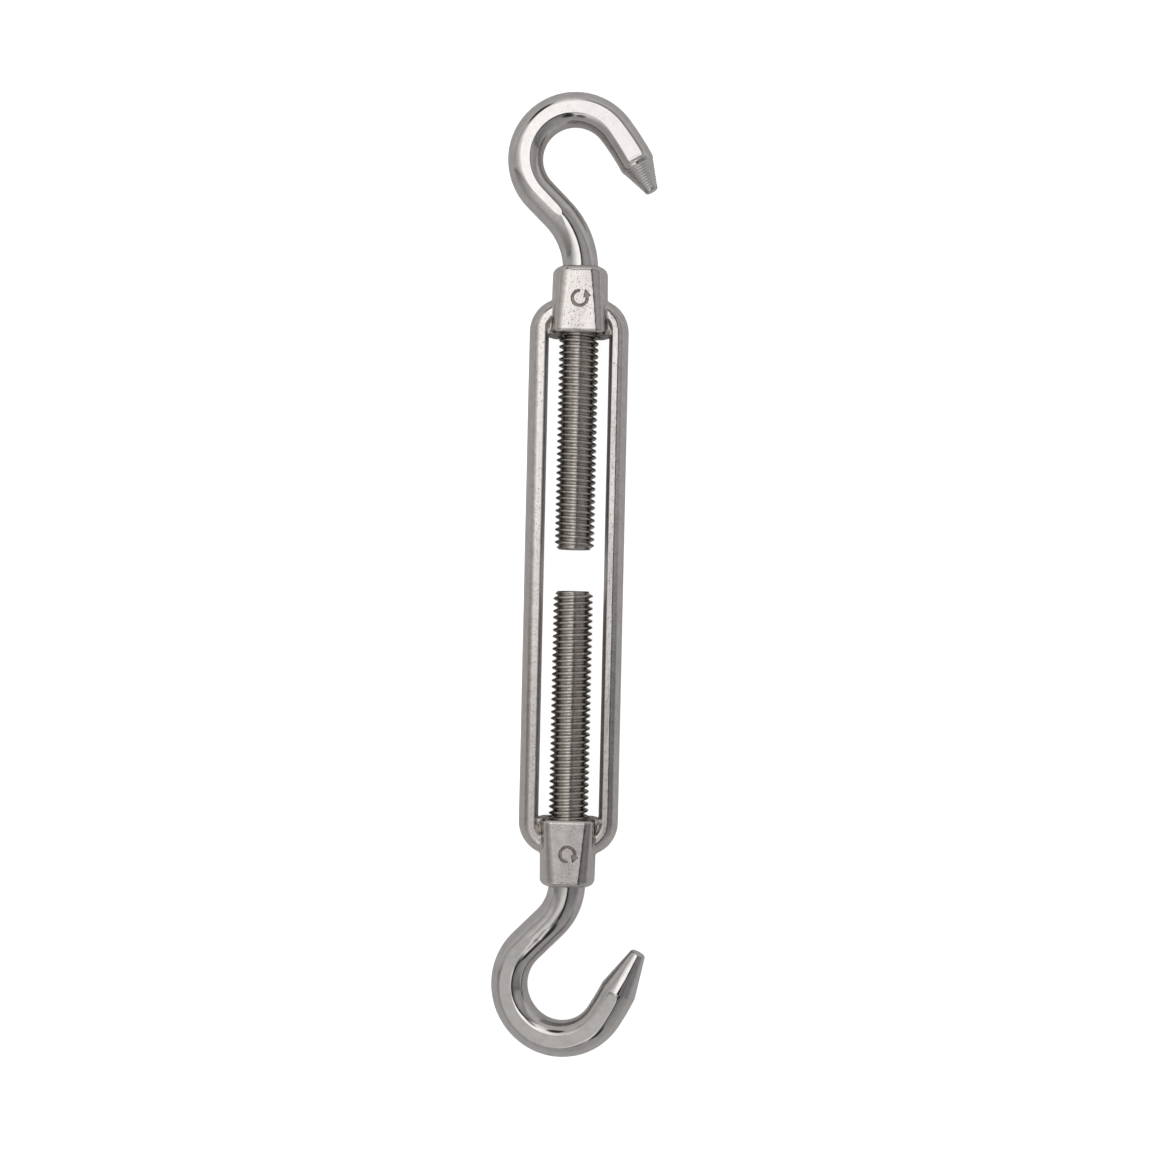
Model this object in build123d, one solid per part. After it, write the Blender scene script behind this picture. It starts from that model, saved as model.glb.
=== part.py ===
from build123d import *
from math import radians, tan
import os

# Rigging turnbuckle, M8, hook and hook, fully screwed in. The thread axis is the Y axis, +Z is up, and
# the origin is the middle of the frame. The left-hand hook points to +Y, the right-hand hook to -Y.

# M8 coarse thread
pitch = 1.25
crest_radius = 3.92                 # rolled a little under the nominal 4
root_radius = crest_radius - 0.6134 * pitch
crest_flat = pitch / 8
flank_slope = tan(radians(30))      # 60 degree thread
thread_clearance = 0.10             # between the two threads
ridge_sink = 0.12                   # how far a thread ridge runs into its core
spare_turns = 2                     # turns that a ridge runs past what it is cut to

# frame: one casting with two tapped bosses and two rails
frame_length = 122.2
boss_length = 13.3
boss_depth = 12.6
boss_outer_width, boss_outer_flat = 10.9, 6.9
boss_inner_width, boss_inner_flat = 11.3, 9.2
boss_end_radius = 1.0
boss_edge_radius = 0.8              # along the sides of the flat faces
boss_spare = 1.0                    # how much taller the boss is drawn before its faces are cut
slot_half_width = 5.9
frame_half_width = 9.84
shoulder_radius = 6.7               # outer side of the rail where it turns in to the boss
shoulder_reach = 0.7                # how far the centre of that turn stands past the boss's inner end
rail_half_depth = 3.75
rail_crest = 7.3                    # distance of the rail's ridge from the thread axis
ridge_flat_in, ridge_flat_out = 0.7, 0.25
rail_nose = 0.5                     # half height of the band along the slot
rail_edge_radius = 0.25
web_length, web_half_depth = 3.6, 3.3   # what closes the gap between a boss's side and the rail beside it
bore_radius = 3.32
mouth_radius, mouth_depth = 4.05, 1.6
mark_radius, mark_width, mark_depth = 1.45, 0.5, 0.3
mark_gap, mark_head, mark_overlap = 70, 1.5, 0.06

# hooks, worked out as lying in the XY plane and pointing to +Y
thread_end = 60.2                   # where the thread stops, inside the boss mouth
neck_bend = 60.67                   # where the neck starts to lean over
lean = 45
shank_chamfer = 0.8
tip_chamfer = 0.2
flat_ramp = 14                      # run-out of the pressed flats, in degrees
core_radius, core_length, core_start = 1.5, 36.0, 9.0
core_clearance = 0.06
cutter_size, cutter_depth = 80, 12  # wider and deeper than what the flats' cutters have to clear

upper = dict(name="upper", left_hand=True, shank_end=5.4, bar=3.5, flat=3.1, neck=16.0, straight=5.39,
             bend=9.9, bend_turn=187, opening=55.5, opening_turn=8.3, taper=6.3, tip=1.25, tilt=0)
lower = dict(name="lower", left_hand=False, shank_end=2.8, bar=3.65, flat=3.1, neck=11.3, straight=7.1,
             bend=10.5, bend_turn=193, opening=65.0, opening_turn=5.3, taper=8.6, tip=1.5, tilt=-14)

along_y = Location(Plane(origin=(0, 0, 0), x_dir=(1, 0, 0), z_dir=(0, 1, 0)))
from_bottom = (Align.CENTER, Align.CENTER, Align.MIN)


def rod_along_z(radius, start, length):
    return Cylinder(radius, length, align=from_bottom).moved(Location((0, 0, start)))


def thread_ridge(outer_radius, inner_radius, widening, start, length, left_hand):
    """A helical ridge about Z. Every ridge made here is in step with the others, whatever its start."""
    first_turn = (int(start / pitch) - spare_turns) * pitch
    turns = int(length / pitch) + 2 * spare_turns + 1
    path = Helix(pitch=pitch, height=turns * pitch, radius=root_radius, lefthand=left_hand)
    outer = crest_flat / 2 + widening + flank_slope * (crest_radius - outer_radius)
    inner = crest_flat / 2 + widening + flank_slope * (crest_radius - inner_radius)
    corners = [(inner_radius, -inner), (outer_radius, -outer), (outer_radius, outer), (inner_radius, inner)]
    section = Plane(origin=(0, 0, 0), x_dir=(1, 0, 0), z_dir=(0, -1, 0)) * Polygon(*corners, align=None)
    return sweep(section, path=path, is_frenet=True).moved(Location((0, 0, first_turn)))


def flat_cutter(point, outward, height):
    """What is pressed away above a flat: it is level, and it ends in a ramp that rises outward from point."""
    slab = Box(cutter_size, cutter_size, cutter_depth, align=from_bottom)
    level = slab.moved(Location((point.X, point.Y, height)))
    ramp = Plane(origin=(point.X, point.Y, height), x_dir=outward.cross(Vector(0, 0, 1)),
                 z_dir=Vector(0, 0, 1) - outward * tan(radians(flat_ramp)))
    return level & slab.moved(ramp.location)


def threaded_shank(hook):
    start = hook["shank_end"]
    length = thread_end - start
    envelope = rod_along_z(crest_radius + thread_clearance, start, length)
    envelope = chamfer(envelope.edges().filter_by(GeomType.CIRCLE), shank_chamfer + thread_clearance)
    ridge = thread_ridge(crest_radius, root_radius - ridge_sink, 0, start, length, hook["left_hand"])
    return (rod_along_z(root_radius, start, length) + (ridge & envelope)).moved(along_y)


def bent_rod(hook):
    """The bar from the neck to the tip, with the flats pressed on both faces of the bend."""
    neck = Line((0, thread_end), (0, neck_bend))
    s_bend = JernArc(neck @ 1, neck % 1, hook["neck"], lean)
    diagonal = Line(s_bend @ 1, s_bend @ 1 + (s_bend % 1) * hook["straight"])
    bend = JernArc(diagonal @ 1, diagonal % 1, hook["bend"], -hook["bend_turn"])
    opening = JernArc(bend @ 1, bend % 1, hook["opening"], -hook["opening_turn"])
    path = Wire([neck, s_bend, diagonal, bend, opening])
    section = Plane(origin=neck @ 0, z_dir=neck % 0) * Circle(hook["bar"])
    tip = Cone(hook["bar"], hook["tip"], hook["taper"], align=from_bottom)
    tip = chamfer(tip.edges().filter_by(GeomType.CIRCLE).sort_by(Axis.Z)[-1], tip_chamfer)
    at_tip = Plane(origin=opening @ 1, z_dir=opening % 1)
    rod = sweep(section, path=path) + tip.moved(at_tip.location)

    middle = Location((bend.arc_center.X, neck_bend, 0))
    side = (cutter_size, 2 * cutter_size, cutter_size)
    near_side = Box(*side, align=(Align.MAX, Align.CENTER, Align.CENTER)).moved(middle)
    far_side = Box(*side, align=(Align.MIN, Align.CENTER, Align.CENTER)).moved(middle)
    near = flat_cutter(s_bend @ 1, (diagonal % 0) * -1, hook["flat"]) & near_side
    far = flat_cutter(opening @ 1, opening % 1, hook["flat"]) & far_side
    for cutter in (near, far):
        rod = rod - cutter - cutter.mirror(Plane.XY)
    return rod


def place(solid, hook):
    """Turns what is made pointing to +Y to its own end of the frame, and to its tilt about the thread."""
    if hook is lower:
        solid = solid.rotate(Axis.X, 180)
    return solid.rotate(Axis.Y, hook["tilt"])


def make_hook(hook):
    core = rod_along_z(core_radius, hook["shank_end"] + core_start, core_length)
    room = rod_along_z(core_radius + core_clearance, hook["shank_end"] + core_start - core_clearance,
                       core_length + 2 * core_clearance)
    body = threaded_shank(hook) + bent_rod(hook) - room.moved(along_y)
    return place(body, hook), place(core.moved(along_y), hook)


def boss_section(width, flat, y):
    """A section of the boss, drawn higher than the boss so that its two flat faces can be cut level."""
    half, rise = boss_depth / 2, (width - flat) / 2
    barrel = (rise ** 2 + half ** 2) / (2 * rise)
    centre = width / 2 - barrel
    tall = half + boss_spare
    x = centre + (barrel ** 2 - tall ** 2) ** 0.5
    right = ThreePointArc((x, tall), (width / 2, 0), (x, -tall))
    left = ThreePointArc((-x, -tall), (-width / 2, 0), (-x, tall))
    outline = [Line((-x, tall), (x, tall)), right, Line((x, -tall), (-x, -tall)), left]
    return Plane(origin=(0, y, 0), x_dir=(1, 0, 0), z_dir=(0, -1, 0)) * make_face(outline)


def boss():
    """The boss at +Y: barrel sides, and two flat faces that narrow towards its outer end."""
    end = frame_length / 2
    inner = boss_section(boss_inner_width, boss_inner_flat, end - boss_length)
    outer = boss_section(boss_outer_width, boss_outer_flat, end)
    block = loft([inner, outer], ruled=True)
    level = Box(4 * boss_depth, 4 * boss_length, boss_depth).moved(Location((0, end, 0)))
    block = block & level
    long_edges = [edge for edge in block.edges() if abs(abs(edge.center().Z) - boss_depth / 2) < 0.01
                  and edge.bounding_box().size.Y > boss_length / 2]
    block = fillet(long_edges, boss_edge_radius)
    block = fillet(block.edges().group_by(Axis.Y)[-1], boss_end_radius)
    return block


def rail():
    """The rail at +X: a D section carried along its length and round both shoulders."""
    corner_x = frame_half_width - shoulder_radius
    corner_y = frame_length / 2 - boss_length + shoulder_reach
    turn = rail_crest - corner_x
    low = CenterArc((corner_x, -corner_y), turn, 270, 90)
    side = Line((rail_crest, -corner_y), (rail_crest, corner_y))
    high = CenterArc((corner_x, corner_y), turn, 0, 90)
    path = Wire([low, side, high])

    outside = frame_half_width - rail_crest - ridge_flat_out
    arc = EllipticalCenterArc((ridge_flat_out, 0), outside, rail_half_depth, start_angle=-90, arc_size=180)
    inside = Polyline(arc @ 1, (-ridge_flat_in, rail_half_depth), (slot_half_width - rail_crest, rail_nose),
                      (slot_half_width - rail_crest, -rail_nose), (-ridge_flat_in, -rail_half_depth), arc @ 0)
    section = make_face([arc, inside])
    section = fillet(section.vertices().filter_by_position(Axis.X, -9, 0), rail_edge_radius)
    start = Plane(origin=low @ 0, x_dir=(low % 0).cross(Vector(0, 0, 1)), z_dir=low % 0)
    return sweep(start * section, path=path)


def bore(hook):
    """What is cut out of a boss: the tapped hole, in step with its shank, and the mouth for the neck."""
    end = frame_length / 2
    hole = rod_along_z(bore_radius, end - boss_length - pitch, boss_length + 2 * pitch)
    groove = thread_ridge(crest_radius + thread_clearance, bore_radius - ridge_sink, thread_clearance,
                          end - boss_length, boss_length, hook["left_hand"])
    reach = rod_along_z(crest_radius + 1, end - boss_length - pitch, boss_length + 2 * pitch)
    mouth = rod_along_z(mouth_radius, end - mouth_depth, mouth_depth + pitch)
    return place((hole + (groove & reach) + mouth).moved(along_y), hook)


def turning_mark(hook):
    """The band and the head of an arrow that turns the way its thread does, cut into the boss face."""
    line = CenterArc((0, (frame_length - boss_length) / 2), mark_radius, 90, 360 - mark_gap)
    head = Polygon((mark_head, 0), (-mark_overlap, -mark_head / 2), (-mark_overlap, mark_head / 2), align=None)
    head = Plane(origin=line @ 1, x_dir=line % 1, z_dir=(0, 0, 1)) * head
    for shape, depth in ((trace(line, mark_width), mark_depth), (head, mark_depth + mark_overlap)):
        cutter = extrude(shape, amount=2 * depth).moved(Location((0, 0, boss_depth / 2 - depth)))
        yield cutter if hook is upper else cutter.mirror(Plane.XZ)


def make_frame():
    block, side = boss(), rail()
    web = Box(2 * rail_crest - ridge_flat_in, web_length, 2 * web_half_depth, align=(Align.CENTER, Align.MIN, Align.CENTER))
    block = block + web.moved(Location((0, frame_length / 2 - boss_length, 0)))
    body = block + block.mirror(Plane.XZ) + side + side.mirror(Plane.YZ)
    for hook in (upper, lower):
        body = body - bore(hook)
        for cutter in turning_mark(hook):
            body = body - cutter
    return body


parts = {"frame": make_frame()}
for hook in (upper, lower):
    parts[hook["name"] + "_hook"], parts[hook["name"] + "_shank_core"] = make_hook(hook)

os.makedirs("parts", exist_ok=True)
for name, part in parts.items():
    solid = part.solids()[0]
    solid.label = name
    export_step(solid, "parts/" + name + ".step")
    print(name, "solids", len(part.solids()), "valid", solid.is_valid, "volume", round(solid.volume, 1))
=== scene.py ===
import math

import bmesh
import bpy
import numpy as np
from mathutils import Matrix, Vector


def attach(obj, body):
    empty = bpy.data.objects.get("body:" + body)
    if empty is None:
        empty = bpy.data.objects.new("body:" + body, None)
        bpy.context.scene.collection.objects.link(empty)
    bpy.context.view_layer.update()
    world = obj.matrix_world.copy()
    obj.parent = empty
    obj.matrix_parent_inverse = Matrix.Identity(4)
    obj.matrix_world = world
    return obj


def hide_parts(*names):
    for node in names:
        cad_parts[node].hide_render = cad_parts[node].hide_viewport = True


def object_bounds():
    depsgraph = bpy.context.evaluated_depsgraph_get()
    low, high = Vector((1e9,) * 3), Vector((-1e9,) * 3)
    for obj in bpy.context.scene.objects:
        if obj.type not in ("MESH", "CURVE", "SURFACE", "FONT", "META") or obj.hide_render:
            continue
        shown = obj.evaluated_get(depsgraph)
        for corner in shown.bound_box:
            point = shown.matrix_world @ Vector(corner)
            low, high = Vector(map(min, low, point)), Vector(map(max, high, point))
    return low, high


# A rigging turnbuckle with a hook at each end. The thread axis is Y, +Z is up, and it lies on its side.
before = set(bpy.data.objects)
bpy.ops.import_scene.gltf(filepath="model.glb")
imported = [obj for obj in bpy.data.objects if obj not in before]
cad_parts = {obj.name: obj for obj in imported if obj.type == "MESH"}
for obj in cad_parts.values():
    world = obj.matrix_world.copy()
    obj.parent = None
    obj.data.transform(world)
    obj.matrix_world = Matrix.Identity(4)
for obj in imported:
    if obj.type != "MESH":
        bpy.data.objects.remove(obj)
scene = bpy.context.scene
cadLow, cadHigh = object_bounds()
mm = 0.001


def hexColour(text):
    # sRGB hex to linear, as (r, g, b, 1)
    values = np.array([int(text[i:i + 2], 16) for i in (1, 3, 5)]) / 255
    linear = np.where(values <= 0.04045, values / 12.92, ((values + 0.055) / 1.055) ** 2.4)
    return (*linear.tolist(), 1.0)


def addNode(tree, kind, links=None, **settings):
    # adds a node. A setting goes to the node's own property, or to its socket by name, or by number as in1
    node = tree.nodes.new(kind)
    for name, value in settings.items():
        if hasattr(node, name):
            setattr(node, name, value)
        else:
            key = int(name[2:]) if name.startswith("in") and name[2:].isdigit() else name.replace("_", " ")
            node.inputs[key].default_value = value
    for key, source in (links or {}).items():
        tree.links.new(source, node.inputs[key])
    return node


def meshObject(name, points, quads, materials, mergeWithin):
    # points in mm; doubles are merged, flat quads dropped and the faces turned outwards
    mesh = bpy.data.meshes.new(name)
    mesh.from_pydata(points.tolist(), [], quads.tolist())
    work = bmesh.new()
    work.from_mesh(mesh)
    bmesh.ops.remove_doubles(work, verts=work.verts, dist=mergeWithin)
    bmesh.ops.dissolve_degenerate(work, edges=work.edges, dist=mergeWithin / 4)
    loose = [v for v in work.verts if not v.link_faces]
    bmesh.ops.delete(work, geom=loose, context="VERTS")
    bmesh.ops.recalc_face_normals(work, faces=work.faces)
    bmesh.ops.scale(work, vec=(mm, mm, mm), verts=work.verts)
    openEdges = sum(1 for e in work.edges if len(e.link_faces) != 2)
    work.to_mesh(mesh)
    work.free()
    mesh.shade_smooth()
    for material in materials:
        mesh.materials.append(material)
    piece = bpy.data.objects.new(name, mesh)
    scene.collection.objects.link(piece)
    print(name, "triangles", sum(len(p.vertices) - 2 for p in mesh.polygons), "open edges", openEdges)
    return piece


def faceCentres(piece):
    # the middles of a piece's faces in mm, as a row each of x, y and z
    centres = np.empty(3 * len(piece.data.polygons))
    piece.data.polygons.foreach_get("center", centres)
    return centres.reshape(-1, 3).T / mm


def steelMaterial(name, look):
    # base colour mottled a little, roughness that follows the polish, and bump from lines, pits and waves.
    # Pits lie only in patches. Hollows are turned towards the hollow colour as painted shade: Pointiness
    # under 0.5 is a hollow
    material = bpy.data.materials.new(name)
    material.use_nodes = True
    tree = material.node_tree
    tree.nodes.clear()
    place = addNode(tree, "ShaderNodeTexCoord").outputs["Object"]
    stretched = addNode(tree, "ShaderNodeMapping", {"Vector": place}, Scale=look["lineStretch"]).outputs[0]
    mottle = addNode(tree, "ShaderNodeTexNoise", {"Vector": place}, Scale=1 / (look["mottleSize"] * mm),
                     Detail=5.0, Roughness=0.65)
    lines = addNode(tree, "ShaderNodeTexNoise", {"Vector": stretched}, Scale=1 / (look["lineSize"] * mm),
                    Detail=3.0, Roughness=0.6)
    pits = addNode(tree, "ShaderNodeTexVoronoi", {"Vector": place}, Scale=1 / (look["pitSpacing"] * mm),
                   Randomness=1.0)
    patches = addNode(tree, "ShaderNodeTexNoise", {"Vector": place}, Scale=1 / (look["patchSize"] * mm),
                      Detail=2.0)
    pitDepth = addNode(tree, "ShaderNodeMapRange", {"Value": pits.outputs["Distance"]},
                       in1=0.0, in2=look["pitWidth"], in3=0.0, in4=1.0)
    pitPatch = addNode(tree, "ShaderNodeMapRange", {"Value": patches.outputs[0]},
                       in1=look["pitPatch"][0], in2=look["pitPatch"][1], in3=1.0, in4=0.0)
    pitHeight = addNode(tree, "ShaderNodeMath", {0: pitDepth.outputs[0], 1: pitPatch.outputs[0]},
                        operation="MAXIMUM")
    colour = addNode(tree, "ShaderNodeValToRGB", {"Fac": mottle.outputs[0]})
    for element, position, shade in zip(colour.color_ramp.elements, (0.35, 0.62), ("dark", "light")):
        element.position = position
        element.color = hexColour(look[shade])
    pitted = addNode(tree, "ShaderNodeMix", {"Factor": pitHeight.outputs[0], 7: colour.outputs[0]},
                     data_type="RGBA", in6=hexColour(look["pit"]))
    edges = addNode(tree, "ShaderNodeNewGeometry").outputs["Pointiness"]
    # painted shade: the colour darkens to the hollow colour where Pointiness is low, in thread roots, fillets
    # and other hollows
    hollow = addNode(tree, "ShaderNodeMapRange", {"Value": edges}, in1=look["hollowFrom"],
                     in2=look["hollowTo"], in3=0.0, in4=1.0)
    body = addNode(tree, "ShaderNodeMix", {"Factor": hollow.outputs[0], 7: pitted.outputs[2]},
                   data_type="RGBA", in6=hexColour(look["hollow"]))
    roughness = addNode(tree, "ShaderNodeMapRange", {"Value": mottle.outputs[0]}, in1=0.3, in2=0.7,
                        in3=look["roughness"][0], in4=look["roughness"][1])
    fine = addNode(tree, "ShaderNodeBump", {"Height": lines.outputs[0]}, Strength=look["lineStrength"],
                   Distance=look["lineDepth"] * mm)
    deep = addNode(tree, "ShaderNodeBump", {"Height": pitHeight.outputs[0], "Normal": fine.outputs[0]},
                   Strength=look["pitStrength"], Distance=look["pitDepth"] * mm)
    waves = addNode(tree, "ShaderNodeBump", {"Height": mottle.outputs[0], "Normal": deep.outputs[0]},
                    Strength=look["waveStrength"], Distance=look["waveDepth"] * mm)
    shader = addNode(tree, "ShaderNodeBsdfPrincipled", {"Base Color": body.outputs[2],
                     "Roughness": roughness.outputs[0], "Normal": waves.outputs[0]}, Metallic=1.0)
    addNode(tree, "ShaderNodeOutputMaterial", {"Surface": shader.outputs[0]})
    return material


# sizes, spacings and depths are in mm; the hollow colour in each table is painted shade for the hollows
# cast 316 stainless, tumbled and machine polished: a warm grey mirror with shallow waves and casting pits
castSteel = {"dark": "#c3bdb8", "light": "#d0cbc7", "pit": "#5a4a40", "hollow": "#6b5d52",
             "hollowFrom": 0.42, "hollowTo": 0.48, "mottleSize": 1.4, "patchSize": 6.0,
             "lineSize": 0.3, "lineStretch": (1.0, 0.6, 1.0), "lineDepth": 0.02, "lineStrength": 0.7,
             "pitSpacing": 0.5, "pitWidth": 0.24, "pitDepth": 0.03, "pitStrength": 0.6,
             "pitPatch": (0.42, 0.56), "waveDepth": 0.016, "waveStrength": 0.5, "roughness": (0.08, 0.17)}
# the sunk marks, which the polishing wheel doesn't reach, so they keep the brown film of the casting
markSteel = {**castSteel, "dark": "#7f766f", "light": "#a89f98", "roughness": (0.25, 0.4)}
# drawn 316 bar, bent and polished on a wheel: smoother, with hair lines round the bar
barSteel = {"dark": "#c6c1be", "light": "#d0ccc9", "pit": "#6b5c52", "hollow": "#75675d",
            "hollowFrom": 0.36, "hollowTo": 0.44, "mottleSize": 2.2, "patchSize": 5.0,
            "lineSize": 0.3, "lineStretch": (0.6, 1.0, 0.6), "lineDepth": 0.003, "lineStrength": 0.4,
            "pitSpacing": 0.4, "pitWidth": 0.16, "pitDepth": 0.015, "pitStrength": 0.4,
            "pitPatch": (0.46, 0.60), "waveDepth": 0.012, "waveStrength": 0.35, "roughness": (0.05, 0.12)}
# the same bar where the thread is rolled, and not polished after: duller, with painted shade in the roots
threadSteel = {"dark": "#b9b3ac", "light": "#d2cec9", "pit": "#5a5048", "hollow": "#5c544c",
               "hollowFrom": 0.33, "hollowTo": 0.45, "mottleSize": 1.2, "patchSize": 4.0,
               "lineSize": 0.12, "lineStretch": (0.5, 3.0, 0.5), "lineDepth": 0.004, "lineStrength": 0.6,
               "pitSpacing": 0.4, "pitWidth": 0.2, "pitDepth": 0.02, "pitStrength": 0.5,
               "pitPatch": (0.42, 0.58), "waveDepth": 0.02, "waveStrength": 0.5, "roughness": (0.15, 0.25)}
castStainless = steelMaterial("polishedCastStainless", castSteel)
markStainless = steelMaterial("castStainlessInTheMarks", markSteel)
threadStainless = steelMaterial("rolledThreadStainless", threadSteel)
barStainless = steelMaterial("polishedBarStainless", barSteel)
print("made the materials")


# the thread on both shanks, in mm; end = where it runs out, neckBend = where the bar starts to bend. Places
# within snapWithin of an end go to the end, and radii under centreWithin go to the axis
thread = {"pitch": 1.25, "crest": 3.92, "depth": 0.767, "end": 60.2, "polishedFrom": 59.9, "neckBend": 60.67,
          "chamfer": 0.8, "runOut": 0.8, "neckBlend": 0.6, "snapWithin": 0.09, "centreWithin": 0.4,
          # how far each row of the profile stands from the crest, along the axis and down
          "along": (0.0, 0.11, 0.18, 0.33, 0.48, 0.54), "down": (0.0, 0.010, 0.06, 0.385, 0.70, 0.757)}

# the grid on the bars. Rows lie along each stretch and closer round the ends of the seen flat, from so much
# before the flat's end to so much after it; plainSide = half angle of a side where the bar is plain
barRows = {"merge": 0.02, "plainSide": 62, "narrowFlat": 2, "samples": 8000, "bend": 170, "taper": 96,
           "flatStart": 18, "aroundStart": (-0.2, 2.5), "flatEnd": 14, "aroundEnd": (-1.2, 0.2),
           "closest": 0.02, "tipChamfer": 0.2, "ridgesFrom": 0.4, "ridgesTo": 0.5, "ridgesFade": 0.3,
           "flatFade": (6, 0.3)}

# lengths in mm and angles in degrees, in order along the bar from the shank to the tip. A flat is a table of
# the distance before the end of the bar and the flat's width there
upperHook = {"name": "upperHook", "node": "upper_hook", "core": "upper_shank_core", "hand": 1,
             "turned": False, "tilt": 0, "shankEnd": 5.4, "bar": 3.5, "neck": 16.0, "lean": 45,
             "straight": 5.39, "bend": 9.9, "bendTurn": 187, "opening": 55.5, "openingTurn": 8.3,
             "taper": 6.3, "tip": 1.25, "ridges": 0.14, "ridgePitch": 0.5,
             "seenFlat": ((53.0, 0), (52.7, 0.9), (52.1, 1.4), (51.0, 1.6), (42, 1.8), (24, 2.5), (9.5, 3.2),
                          (7.4, 3.2), (6.9, 2.7), (6.6, 1.8), (6.45, 0)),
             "otherFlat": ((53, 0), (52, 1.4), (50, 2.6), (42, 3.1), (9.5, 3.2), (7.2, 2.4), (6.4, 0))}
lowerHook = {"name": "lowerHook", "node": "lower_hook", "core": "lower_shank_core", "hand": -1,
             "turned": True, "tilt": -14, "shankEnd": 2.8, "bar": 3.65, "neck": 11.3, "lean": 45,
             "straight": 7.1, "bend": 10.5, "bendTurn": 193, "opening": 65.0, "openingTurn": 5.3,
             "taper": 8.6, "tip": 1.5, "ridges": 0.0, "ridgePitch": 0.6,
             "seenFlat": ((54, 0), (52, 1.2), (48, 2.2), (30, 2.5), (12, 2.3), (10.0, 2.1), (9.2, 1.5),
                          (8.8, 0)),
             "otherFlat": ((54, 0), (53, 1.8), (51, 3.2), (12, 3.4), (10.0, 2.4), (8.8, 0))}


def columnAngles(seen, other):
    # angles round the bar for each station: even steps over each side and across each flat, with a close pair
    # at the flat's edges. seen and other are the half angles of the sides, each an array over the stations
    side = np.concatenate(([0.0], np.linspace(0.14, 0.86, 9), [0.97]))
    flat = np.concatenate(([0.0, 0.06], np.linspace(0.16, 0.84, 9), [0.94]))
    right = -other[:, None] + (seen + other)[:, None] * side
    top = seen[:, None] + (math.pi - 2 * seen)[:, None] * flat
    left = (math.pi - seen)[:, None] + (seen + other)[:, None] * side
    under = (math.pi + other)[:, None] + (math.pi - 2 * other)[:, None] * flat
    return np.concatenate((right, top, left, under), axis=1)


def shankGrid(hook, angles):
    # rows follow the helix: y = row + hand * pitch * angle / turn, and radius = the profile at the row,
    # cut to the chamfer at the free end and run out into the plain neck at the other. The rows start and stop
    # a few pitches beyond the ends, because they lean, and what is beyond is drawn in to the end
    pitch, along, down = thread["pitch"], np.array(thread["along"]), np.array(thread["down"])
    steps = np.concatenate((along, [pitch / 2], pitch - along[:0:-1]))
    drops = np.concatenate((down, [thread["depth"]], down[:0:-1]))
    first = math.floor(hook["shankEnd"] / pitch) - 4
    count = math.ceil(thread["end"] / pitch) + 4 - first
    rows = ((first + np.arange(count))[:, None] * pitch + steps).ravel()
    drop = np.tile(drops, count)
    y = rows[:, None] + hook["hand"] * pitch * angles / (2 * math.pi)
    start, end = hook["shankEnd"], thread["end"]
    for edge in (start, end):
        y = np.where(np.abs(y - edge) < thread["snapWithin"], edge, y)
    crest, root = thread["crest"], thread["crest"] - thread["depth"]
    face = crest - thread["chamfer"]
    chamfer = np.where(y < start, face * (1 - (start - y) / pitch), face + (y - start))
    runOut = root + (crest - root) * np.clip((end - y) / thread["runOut"], 0, 1)
    radius = np.minimum(np.minimum(crest - drop[:, None], np.clip(chamfer, 0, None)), runOut)
    blendFrom = end - thread["neckBlend"]
    radius = np.maximum(radius, np.interp(y, [blendFrom, end], [0, hook["bar"]]) * (y > blendFrom))
    radius = np.where(y >= end, hook["bar"], radius)
    radius = np.where(radius < thread["centreWithin"], 0, radius)
    points = np.stack((radius * np.cos(angles), np.clip(y, start, end), radius * np.sin(angles)), axis=-1)
    perPitch, (n, m) = len(steps), radius.shape
    index = np.arange(n * m).reshape(n, m)
    rings = np.stack((index[:-1, :-1], index[1:, :-1], index[1:, 1:], index[:-1, 1:]), axis=-1).reshape(-1, 4)
    last, nextRow = index[:, -1], index[:, 0]  # one turn on, a row meets the row one pitch along
    if hook["hand"] > 0:
        last, nextRow = last[:-perPitch], nextRow[perPitch:]
    else:
        last, nextRow = last[perPitch:], nextRow[:-perPitch]
    seam = np.stack((last[:-1], last[1:], nextRow[1:], nextRow[:-1]), axis=-1)
    return points.reshape(-1, 3), np.concatenate((rings, seam))


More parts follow.
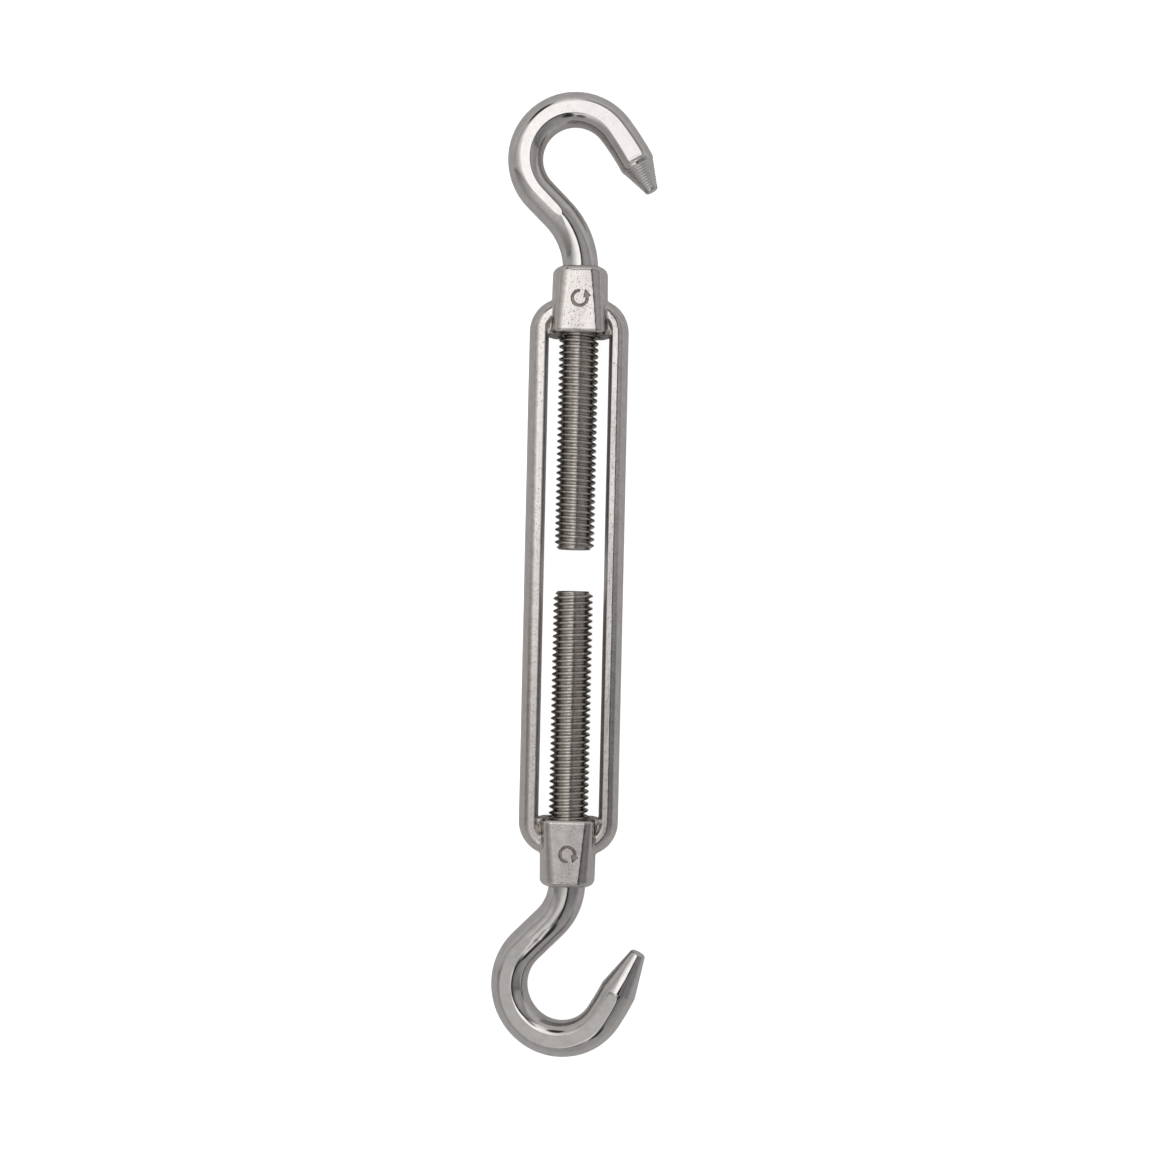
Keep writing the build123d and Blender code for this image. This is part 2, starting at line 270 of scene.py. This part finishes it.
def barGrid(hook, plainSide):
    # a round section carried along straight, arc, straight, arc, arc, straight: the heading is the integral
    # of the curvature, and the place that of the heading. Each pressed flat cuts the section off level
    rad = math.radians
    lengths = [thread["neckBend"] - thread["end"], hook["neck"] * rad(hook["lean"]), hook["straight"],
               hook["bend"] * rad(hook["bendTurn"]), hook["opening"] * rad(hook["openingTurn"]),
               hook["taper"]]
    turns = [0, rad(hook["lean"]), 0, -rad(hook["bendTurn"]), -rad(hook["openingTurn"]), 0]
    ends = np.concatenate(([0], np.cumsum(lengths)))
    total, taperFrom = ends[-1], ends[5]
    headings = math.pi / 2 + np.concatenate(([0], np.cumsum(turns)))
    fine = np.linspace(0, total, barRows["samples"] + 1)
    heading = np.interp((fine[1:] + fine[:-1]) / 2, ends, headings)
    step = total / barRows["samples"]
    px = np.concatenate(([0], np.cumsum(np.cos(heading) * step)))
    py = thread["end"] + np.concatenate(([0], np.cumsum(np.sin(heading) * step)))

    seenAt = total - np.array([p[0] for p in hook["seenFlat"]])
    otherAt = total - np.array([p[0] for p in hook["otherFlat"]])
    tipFrom = total - barRows["tipChamfer"]
    stations = [np.linspace(0, taperFrom, barRows["bend"]), np.linspace(taperFrom, tipFrom, barRows["taper"]),
                seenAt, otherAt, [tipFrom, total],
                np.linspace(*(seenAt[0] + np.array(barRows["aroundStart"])), barRows["flatStart"]),
                np.linspace(*(seenAt[-1] + np.array(barRows["aroundEnd"])), barRows["flatEnd"])]
    s = np.unique(np.round(np.concatenate(stations), 3))
    s = s[np.concatenate(([True], np.diff(s) > barRows["closest"]))]
    s[-1] = total
    radius = np.interp(s, [0, taperFrom, total], [hook["bar"], hook["bar"], hook["tip"]])
    fade = barRows["ridgesFade"]
    ridged = (np.clip((s - taperFrom - barRows["ridgesFrom"]) / fade, 0, 1)
              * np.clip((total - barRows["ridgesTo"] - s) / fade, 0, 1))
    radius = radius - hook["ridges"] * ridged * (0.5 + 0.5 * np.cos(2 * math.pi * s / hook["ridgePitch"]))
    radius = np.where(s >= total - 0.001, hook["tip"] - barRows["tipChamfer"], radius)

    # half angles of the sides and levels of the flats; past a flat's ends they go back to the plain bar's
    narrow = math.pi / 2 - rad(barRows["narrowFlat"])
    far, near = barRows["flatFade"]
    edges = []
    for table, at in ((hook["seenFlat"], seenAt), (hook["otherFlat"], otherAt)):
        width = np.interp(s, at, [p[1] for p in table], left=-1, right=-1)
        angle = np.where(width > 0, math.pi / 2 - np.arcsin(np.clip(width / 2 / radius, 0, 0.95)), narrow)
        angle = np.minimum(angle, narrow)
        before = np.interp(s, [0, at[0] - far, at[0] - near], [plainSide, plainSide, narrow])
        after = np.interp(s, [at[-1] + near, total], [narrow, plainSide])
        angle = np.where(s < at[0], before, np.where(s > at[-1], after, angle))
        edges.append((angle, np.where(width > 0, radius * np.sin(angle), np.inf)))
    if hook["turned"]:
        edges = edges[::-1]
    (topAngle, topLevel), (underAngle, underLevel) = edges
    angles = columnAngles(topAngle, underAngle)
    h = np.interp(s, ends, headings)
    across = radius[:, None] * np.cos(angles)
    up = np.clip(radius[:, None] * np.sin(angles), -underLevel[:, None], topLevel[:, None])
    x = np.interp(s, fine, px)[:, None] + across * np.sin(h)[:, None]
    y = np.interp(s, fine, py)[:, None] - across * np.cos(h)[:, None]
    points = np.stack((x, y, up), axis=-1)
    tipMiddle = np.broadcast_to([px[-1], py[-1], 0], points[-1:].shape)
    points = np.concatenate((points, tipMiddle))
    n, m = points.shape[:2]
    index = np.arange(n * m).reshape(n, m)
    turned = np.roll(index, -1, axis=1)
    quads = np.stack((index[:-1], index[1:], turned[1:], turned[:-1]), axis=-1).reshape(-1, 4)
    return points.reshape(-1, 3), quads


def makeHook(hook):
    # shank and bar share the columns where they meet. The lower hook is the same kind of hook turned end for
    # end, and then tilted round the thread axis
    plainSide = math.radians(barRows["plainSide"])
    angles = columnAngles(np.array([plainSide]), np.array([plainSide]))
    shankPoints, shankQuads = shankGrid(hook, angles)
    barPoints, barQuads = barGrid(hook, plainSide)
    points = np.concatenate((shankPoints, barPoints))
    quads = np.concatenate((shankQuads, barQuads + len(shankPoints)))
    if hook["turned"]:
        points = points * (1, -1, -1)
    tilt = math.radians(hook["tilt"])
    x, y, z = points.T
    points = np.stack((x * math.cos(tilt) + z * math.sin(tilt), y, z * math.cos(tilt) - x * math.sin(tilt)),
                      axis=-1)
    piece = meshObject(hook["name"], points, quads, (barStainless, threadStainless), barRows["merge"])
    onShank = np.abs(faceCentres(piece)[1]) < thread["polishedFrom"]
    piece.data.polygons.foreach_set("material_index", onShank.astype(np.int32))
    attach(piece, hook["node"])
    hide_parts(hook["node"], hook["core"])


for hook in (upperHook, lowerHook):
    makeHook(hook)
print("made the hooks")


# the casting, in mm. Widths are across X; the crest is the rail's highest line, and its nose and back are
# places on the rail's section, measured from the crest
casting = {"length": 122.2, "bossLength": 13.3, "bossDepth": 12.6, "outerWidth": 10.9, "outerFlat": 6.9,
           "innerWidth": 11.3, "innerFlat": 9.2, "bossEndRound": 1.3, "bossInnerRound": 0.7,
           "bossSideRound": 1.3,
           "railCrest": 7.3, "railDepth": 3.75, "railNose": -1.4, "noseHeight": 0.5, "crestIn": 0.75,
           "crestOut": 0.3, "railBack": 2.24, "railRound": 0.2, "cornerX": 3.14, "cornerY": 48.5,
           "fillet": 0.35, "slotFillet": 0.9, "slotFilletTo": 1, "webLength": 3.6, "webDepth": 3.2,
           "webReach": 6.6, "webFillet": 0.5, "waves": 0.006,
           "bore": 3.32, "groove": 4.02, "grooveFlat": 0.12, "grooveEdge": 0.5245, "boreRound": 0.12,
           "mouth": 4.05, "mouthDepth": 1.6, "mouthChamfer": 0.2, "mouthSlope": 1.2, "flankShare": 0.7,
           "markMiddle": 54.45, "markRadius": 1.45, "markWidth": 0.5, "markDepth": 0.35, "markSpan": 285,
           "headLength": 1.35, "headOverlap": 0.06, "headSlope": 1.12, "markRound": 0.06, "markFilm": 0.05,
           # the grid's steps on the bosses, round the marks and along the rails, and where each part lies
           "step": 0.26, "markStep": 0.13, "railStep": 1.2, "fineTo": 2.4, "coarseFrom": 2.5,
           "widest": 10.3, "beforeCorner": 1.6, "lowLevels": (-6.7, 5.8), "topLevels": (5.85, 6.7),
           "merge": 0.012,
           # the odd shift keeps the grid's planes off the casting's flat faces
           "shift": (0.0071, 0.0137, 0.0093)}


def roundMax(a, b, radius):
    # the common part of two solids, with the edge between them rounded
    both = np.hypot(np.maximum(a + radius, 0), np.maximum(b + radius, 0))
    return np.minimum(np.maximum(a, b), -radius) + both


def bossField(ax, ay, z):
    # a block that tapers along Y, with flat top and underside and sides that are arcs over its depth
    c = casting
    end, halfDepth = c["length"] / 2, c["bossDepth"] / 2
    along = np.clip((ay - end + c["bossLength"]) / c["bossLength"], 0, 1)
    width = c["innerWidth"] + (c["outerWidth"] - c["innerWidth"]) * along
    flat = c["innerFlat"] + (c["outerFlat"] - c["innerFlat"]) * along
    rise = (width - flat) / 2
    barrel = (rise ** 2 + halfDepth ** 2) / (2 * rise)
    side = np.hypot(ax - width / 2 + barrel, z) - barrel
    boss = roundMax(roundMax(side, np.abs(z) - halfDepth, c["bossSideRound"]), ay - end, c["bossEndRound"])
    return roundMax(boss, end - c["bossLength"] - ay, c["bossInnerRound"])


def railField(ax, ay, az):
    # out = distance outwards from the crest line, which is straight and turns in round a corner near the
    # boss. The section is an ellipse outside the crest and a slope from the crest to the nose inside it
    c = casting
    turn = c["railCrest"] - c["cornerX"]
    out = np.where(ay < c["cornerY"], ax - c["railCrest"],
                   np.hypot(np.maximum(ax - c["cornerX"], 0), ay - c["cornerY"]) - turn)
    back = np.maximum(out - c["crestOut"], 0)
    a, b = c["railBack"], c["railDepth"]
    k = np.hypot(back / a, az / b)
    outer = k * (k - 1) / np.maximum(np.hypot(back / a ** 2, az / b ** 2), 1e-6)
    run, drop = -c["railNose"] - c["crestIn"], c["railDepth"] - c["noseHeight"]
    inner = (-drop * (out + c["crestIn"]) + run * (az - b)) / math.hypot(run, drop)
    rail = roundMax(roundMax(outer, inner, c["railRound"]), c["railNose"] - out, 2 * c["railRound"])
    inside = c["length"] / 2 - c["bossLength"]
    web = np.maximum(np.maximum(ax - c["webReach"], az - c["webDepth"]),
                     np.maximum(inside - ay, ay - inside - c["webLength"]))
    return -roundMax(-rail, -web, c["webFillet"])


def boreWall(x, y, z):
    # radius of the tapped bore at a place: the groove where the helix passes, wider at both mouths
    c = casting
    ay, end = np.abs(y), c["length"] / 2
    hand = np.where(y > 0, upperHook["hand"], lowerHook["hand"])
    angle = np.arctan2(z, x) + np.where(y > 0, 0, math.radians(lowerHook["tilt"]))
    turns = y / thread["pitch"] - hand * angle / (2 * math.pi)
    off = np.abs(turns - np.round(turns)) * thread["pitch"]
    wall = np.interp(off, [0, c["grooveFlat"], c["grooveEdge"], thread["pitch"] / 2],
                     [c["groove"], c["groove"], c["bore"], c["bore"]])
    wall = np.where(ay > end - c["mouthDepth"], c["mouth"], wall)
    fromInside = np.abs(ay - end + c["bossLength"])
    return np.maximum(wall, c["mouth"] + c["mouthChamfer"] - c["mouthSlope"] * fromInside)


def markField(x, ay, z):
    # an arrow round most of a circle: a band with an arrowhead at its end, sunk into the top of the boss
    c = casting
    py = ay - c["markMiddle"]
    halfSpan = math.radians(c["markSpan"] / 2)
    swing = (np.arctan2(py, x) - math.pi / 2 - halfSpan + math.pi) % (2 * math.pi) - math.pi
    offCircle = np.abs(np.hypot(x, py) - c["markRadius"])
    band = np.maximum(offCircle - c["markWidth"] / 2, (np.abs(swing) - halfSpan) * c["markRadius"])
    tip = math.pi / 2 + 2 * halfSpan
    ahead = -(x * math.sin(tip)) + py * math.cos(tip)
    aside = np.abs(x * math.cos(tip) + py * math.sin(tip) - c["markRadius"])
    halfWidth = c["headLength"] / 2 * (1 - ahead / c["headLength"])
    head = np.maximum(-c["headOverlap"] - ahead, (aside - halfWidth) / c["headSlope"])
    return np.maximum(np.minimum(band, head), c["bossDepth"] / 2 - c["markDepth"] - z)


def castingField(x, y, z):
    # distance to the casting's skin, below zero in the metal: bosses and rails with their symmetry, joined
    # with a fillet and given faint waves, less the tapped bores and the turning arrows
    c = casting
    ax, ay, az = np.abs(x), np.abs(y), np.abs(z)
    nearSlot = ay < c["length"] / 2 - c["bossLength"] + c["slotFilletTo"]
    fillet = np.where(nearSlot, c["slotFillet"], c["fillet"])
    skin = -roundMax(-bossField(ax, ay, z), -railField(ax, ay, az), fillet)
    waves = np.sin(x * 1.1 + 0.6 * y) * np.sin(0.37 * y + z) + np.sin(0.9 * z - 0.23 * y + 1.3 * x)
    bore = (boreWall(x, y, z) - np.hypot(x, z)) * c["flankShare"]
    skin = roundMax(skin + c["waves"] * waves, bore, c["boreRound"])
    nearTop = np.abs(z - c["bossDepth"] / 2) < 1
    return np.where(nearTop, roundMax(skin, -markField(x, ay, z), c["markRound"]), skin)


def slopeOf(field, points, reach=0.012):
    # central differences along the three axes
    columns = []
    for axis in np.eye(3) * reach:
        columns.append((field(*(points + axis).T) - field(*(points - axis).T)) / (2 * reach))
    return np.stack(columns, axis=1)


def skinOfField(field, xs, ys, zs, turns=4, flattest=0.05, furthest=0.1):
    # one point for each grid cell that the skin crosses, at the mean of its edges' crossings, and one quad
    # for each grid edge that it crosses. The points then move down the slope of the field on to the skin
    axes = (xs, ys, zs)
    grid = field(xs[:, None, None], ys[None, :, None], zs[None, None, :])
    metal = grid < 0
    corners = [(i, j, k) for i in (0, 1) for j in (0, 1) for k in (0, 1)]
    nx, ny, nz = grid.shape
    count = sum(metal[i:nx - 1 + i, j:ny - 1 + j, k:nz - 1 + k].astype(np.int8) for i, j, k in corners)
    cells = np.argwhere((count > 0) & (count < 8))
    total, crossings = np.zeros((len(cells), 3)), np.zeros((len(cells), 1))
    edgesOfCell = [(first, axis) for first in corners for axis in range(3) if not first[axis]]
    for first, axis in edgesOfCell:
        ends = []
        for shift in (0, 1):
            at = cells + first
            at[:, axis] += shift
            ends.append((np.stack([axes[n][at[:, n]] for n in range(3)], axis=1), grid[tuple(at.T)]))
        (pa, fa), (pb, fb) = ends
        crossed = ((fa < 0) != (fb < 0))[:, None]
        part = (fa / np.where(fa == fb, 1, fa - fb))[:, None]
        total += np.where(crossed, pa + (pb - pa) * part, 0)
        crossings += crossed
    points = total / crossings
    number = np.full((nx - 1, ny - 1, nz - 1), -1)
    number[tuple(cells.T)] = np.arange(len(cells))
    quads = []
    for axis in range(3):
        u, v = (axis + 1) % 3, (axis + 2) % 3
        low = np.take(metal, range(grid.shape[axis] - 1), axis)
        high = np.take(metal, range(1, grid.shape[axis]), axis)
        edges = np.argwhere(low != high)
        ring = []
        for du, dv in ((-1, -1), (0, -1), (0, 0), (-1, 0)):
            at = edges.copy()
            at[:, u] += du
            at[:, v] += dv
            ring.append(number[tuple(at.T)])
        ring = np.stack(ring, axis=1)
        leaving = low[tuple(edges.T)]
        quads.append(np.where(leaving[:, None], ring, ring[:, ::-1]))
    for turn in range(turns):
        value, slope = field(*points.T), slopeOf(field, points)
        move = -value[:, None] * slope / np.maximum((slope ** 2).sum(axis=1, keepdims=True), flattest)
        points = points + np.clip(move, -furthest, furthest)
    return points, np.concatenate(quads)


def makeCasting():
    # grid lines are close round the marks, wider over the bosses and far apart along the straight rails
    c = casting
    end, step, fine, middle = c["length"] / 2, c["step"], c["markStep"], c["markMiddle"]
    near, beyond, bossFrom = c["fineTo"], c["coarseFrom"], c["cornerY"] - c["beforeCorner"]
    boss = np.concatenate((np.arange(bossFrom, middle - beyond, step),
                           np.arange(middle - near, middle + near, fine),
                           np.arange(middle + beyond, end + 2 * step, step)))
    rail = np.linspace(-bossFrom, bossFrom, round(2 * bossFrom / c["railStep"]))[1:-1]
    outer = np.arange(beyond, c["widest"], step)
    xs = np.concatenate((-outer[::-1], np.arange(-near, near, fine), outer)) + c["shift"][0]
    ys = np.concatenate((-boss[::-1], rail, boss)) + c["shift"][1]
    levels = np.concatenate((np.arange(*c["lowLevels"], step), np.arange(*c["topLevels"], 0.8 * fine)))
    zs = levels + c["shift"][2]
    points, quads = skinOfField(castingField, xs, ys, zs)
    piece = meshObject("castFrame", points, quads, (castStainless, markStainless), c["merge"])
    x, y, z = faceCentres(piece)
    sunk = c["bossDepth"] / 2 - z
    nearMark = np.hypot(x, np.abs(y) - middle) < c["markRadius"] + c["headLength"]
    inMark = nearMark & (sunk > c["markFilm"]) & (sunk < 2 * c["markDepth"])
    piece.data.polygons.foreach_set("material_index", inMark.astype(np.int32))
    finished = np.empty(3 * len(piece.data.vertices))
    piece.data.vertices.foreach_get("co", finished)
    normals = slopeOf(castingField, finished.reshape(-1, 3) / mm, 0.03)
    normals /= np.linalg.norm(normals, axis=1, keepdims=True)
    piece.data.normals_split_custom_set_from_vertices(normals.tolist())
    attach(piece, "frame")
    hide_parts("frame")


makeCasting()
print("made the casting")


# the paper it lies on, and the camera straight above, in mm and degrees
studio = {"paper": "#f6f6f6", "paperHalf": 30000.0, "paperGlow": 0.85, "cameraAt": (0.5, -11.2, 438.0),
          "cameraTurn": 1.276, "lens": 69.1, "sensor": 36.0, "shiftY": 0.0509, "near": 10.0, "far": 60000.0}


def makeFloor():
    # a level square at the height of the object's lowest point
    half, level = studio["paperHalf"] * mm, cadLow[2]
    mesh = bpy.data.meshes.new("floor")
    corners = [(-half, -half, level), (half, -half, level), (half, half, level), (-half, half, level)]
    mesh.from_pydata(corners, [], [(0, 1, 2, 3)])
    # matt white paper; it is overexposed by a light of its own, so the camera sees it as plain white
    material = bpy.data.materials.new("whitePaper")
    material.use_nodes = True
    tree = material.node_tree
    tree.nodes.clear()
    place = addNode(tree, "ShaderNodeTexCoord").outputs["Object"]
    grain = addNode(tree, "ShaderNodeTexNoise", {"Vector": place}, Scale=900.0, Detail=3.0)
    bump = addNode(tree, "ShaderNodeBump", {"Height": grain.outputs[0]}, Strength=0.05, Distance=0.2 * mm)
    paper = addNode(tree, "ShaderNodeBsdfPrincipled", {"Normal": bump.outputs[0]}, Roughness=0.9,
                    Base_Color=hexColour(studio["paper"]))
    seen = addNode(tree, "ShaderNodeLightPath").outputs["Is Camera Ray"]
    glow = addNode(tree, "ShaderNodeMath", {0: seen}, operation="MULTIPLY", in1=studio["paperGlow"])
    lit = addNode(tree, "ShaderNodeEmission", {"Strength": glow.outputs[0]})
    both = addNode(tree, "ShaderNodeAddShader", {0: paper.outputs[0], 1: lit.outputs[0]})
    addNode(tree, "ShaderNodeOutputMaterial", {"Surface": both.outputs[0]})
    mesh.materials.append(material)
    floor = bpy.data.objects.new("floor", mesh)
    scene.collection.objects.link(floor)


# the room as the steel sees it: brightness by angle from straight up, across (X) and along (Y), in degrees
studioLight = {"full": 1.6, "rightTint": (0.985, 0.975, 1.03),
               "across": ((-90, 0.52), (-75, 0.48), (-60, 0.55), (-50, 0.68), (-38, 0.92), (-28, 1.15),
                          (-18, 1.5), (-2, 1.6), (4, 1.5), (9, 0.5), (13, 0.32), (20, 0.36), (30, 0.45),
                          (42, 0.48), (60, 0.40), (90, 0.45)),
               "along": ((-90, 1.3), (-40, 1.2), (-18, 0.95), (-10, 0.95), (-6.5, 0.68), (-3.5, 0.78),
                         (0, 1.15), (3, 1.4), (8, 1.6), (30, 1.6), (42, 1.25), (67, 1.2), (90, 1.3)),
               # the dark gap between two soft boxes, and how far along it reaches
               "gap": ((-90, 0), (3.5, 0), (5, 1.55), (12.5, 1.55), (14.5, 0), (90, 0)),
               "gapLength": ((-90, 0), (-43, 0), (-34, 1.6), (26, 1.6), (38, 0), (90, 0)),
               # low towards either end of the object the room is one even grey
               "ends": ((-90, 0.46), (-60, 0.42), (0, 0.5), (60, 0.62), (90, 0.55)),
               "endsPart": ((-90, 1.6), (-62, 1.6), (-40, 0), (40, 0), (62, 1.6), (90, 1.6)),
               # dark things in the room: azimuth, angle from straight up, radius, soft edge and depth
               "spots": ((90, 29, 5, 5, 0.75), (-90, 27, 5, 5, 0.70), (120, 53, 7, 6, 0.94),
                         (-76, 49, 4, 7, 0.90), (-98, 54, 3, 7, 0.80))}


def makeRoom():
    # sky = the ramp across times the ramp along, less the gap, blended with the ends' grey, times every dark
    # spot. A direction's angle across is the arctangent of X over Z, and along that of Y over Z
    world = bpy.data.worlds.new("studio")
    scene.world = world
    world.use_nodes = True
    tree = world.node_tree
    tree.nodes.clear()
    way = addNode(tree, "ShaderNodeTexCoord").outputs["Generated"]
    parts = addNode(tree, "ShaderNodeSeparateXYZ", {0: way})
    height = addNode(tree, "ShaderNodeMath", {0: parts.outputs[2]}, operation="MAXIMUM", in1=0.001).outputs[0]
    across = addNode(tree, "ShaderNodeMath", {0: parts.outputs[0], 1: height}, operation="ARCTAN2").outputs[0]
    along = addNode(tree, "ShaderNodeMath", {0: parts.outputs[1], 1: height}, operation="ARCTAN2").outputs[0]

    def byAngle(value, name, tint=(1, 1, 1)):
        # the named stops as a ramp over the angle, as a share of full brightness, with the right half tinted
        unit = addNode(tree, "ShaderNodeMapRange", {"Value": value}, in1=-math.pi / 2, in2=math.pi / 2,
                       in3=0.0, in4=1.0)
        ramp = addNode(tree, "ShaderNodeValToRGB", {"Fac": unit.outputs[0]})
        elements, stops = ramp.color_ramp.elements, studioLight[name]
        while len(elements) < len(stops):
            elements.new(0.5)
        for element, (angle, level) in zip(elements, stops):
            element.position = (angle + 90) / 180
            shade = np.array(tint if angle > 0 else (1, 1, 1)) * level / studioLight["full"]
            element.color = (*shade.tolist(), 1)
        return ramp.outputs[0]

    times = {"data_type": "RGBA", "blend_type": "MULTIPLY", "Factor": 1.0}
    acrossShade = byAngle(across, "across", studioLight["rightTint"])
    sky = addNode(tree, "ShaderNodeMix", {6: acrossShade, 7: byAngle(along, "along")}, **times).outputs[2]
    gap = addNode(tree, "ShaderNodeMix", {6: byAngle(across, "gap"), 7: byAngle(along, "gapLength")}, **times)
    outsideGap = addNode(tree, "ShaderNodeInvert", {"Color": gap.outputs[2]}).outputs[0]
    sky = addNode(tree, "ShaderNodeMix", {6: sky, 7: outsideGap}, **times).outputs[2]
    sky = addNode(tree, "ShaderNodeMix", {"Factor": byAngle(along, "endsPart"), 6: sky,
                  7: byAngle(along, "ends")}, data_type="RGBA").outputs[2]
    for azimuth, fromTop, radius, soft, depth in studioLight["spots"]:
        a, p = math.radians(azimuth), math.radians(fromTop)
        towards = (math.cos(a) * math.sin(p), math.sin(a) * math.sin(p), math.cos(p))
        near = addNode(tree, "ShaderNodeVectorMath", {0: way}, operation="DOT_PRODUCT", in1=towards)
        keep = addNode(tree, "ShaderNodeMapRange", {"Value": near.outputs["Value"]},
                       interpolation_type="SMOOTHSTEP", in1=math.cos(math.radians(radius + soft)),
                       in2=math.cos(math.radians(radius)), in3=1.0, in4=1 - depth)
        sky = addNode(tree, "ShaderNodeMix", {6: sky, 7: keep.outputs[0]}, **times).outputs[2]
    background = addNode(tree, "ShaderNodeBackground", {"Color": sky}, Strength=studioLight["full"])
    addNode(tree, "ShaderNodeOutputWorld", {"Surface": background.outputs[0]})


def makeCamera():
    # looks straight down, turned a little round Z, with its frame shifted a little towards +Y
    camera = bpy.data.objects.new("camera", bpy.data.cameras.new("camera"))
    scene.collection.objects.link(camera)
    camera.data.lens, camera.data.sensor_width = studio["lens"], studio["sensor"]
    camera.data.shift_y = studio["shiftY"]
    camera.data.clip_start, camera.data.clip_end = studio["near"] * mm, studio["far"] * mm
    camera.location = [v * mm for v in studio["cameraAt"]]
    camera.rotation_euler = (0, 0, math.radians(studio["cameraTurn"]))
    scene.camera = camera


makeFloor()
makeRoom()
makeCamera()
scene.view_settings.view_transform = "Standard"
scene.view_settings.look = "None"
print("made the floor, the light and the camera")
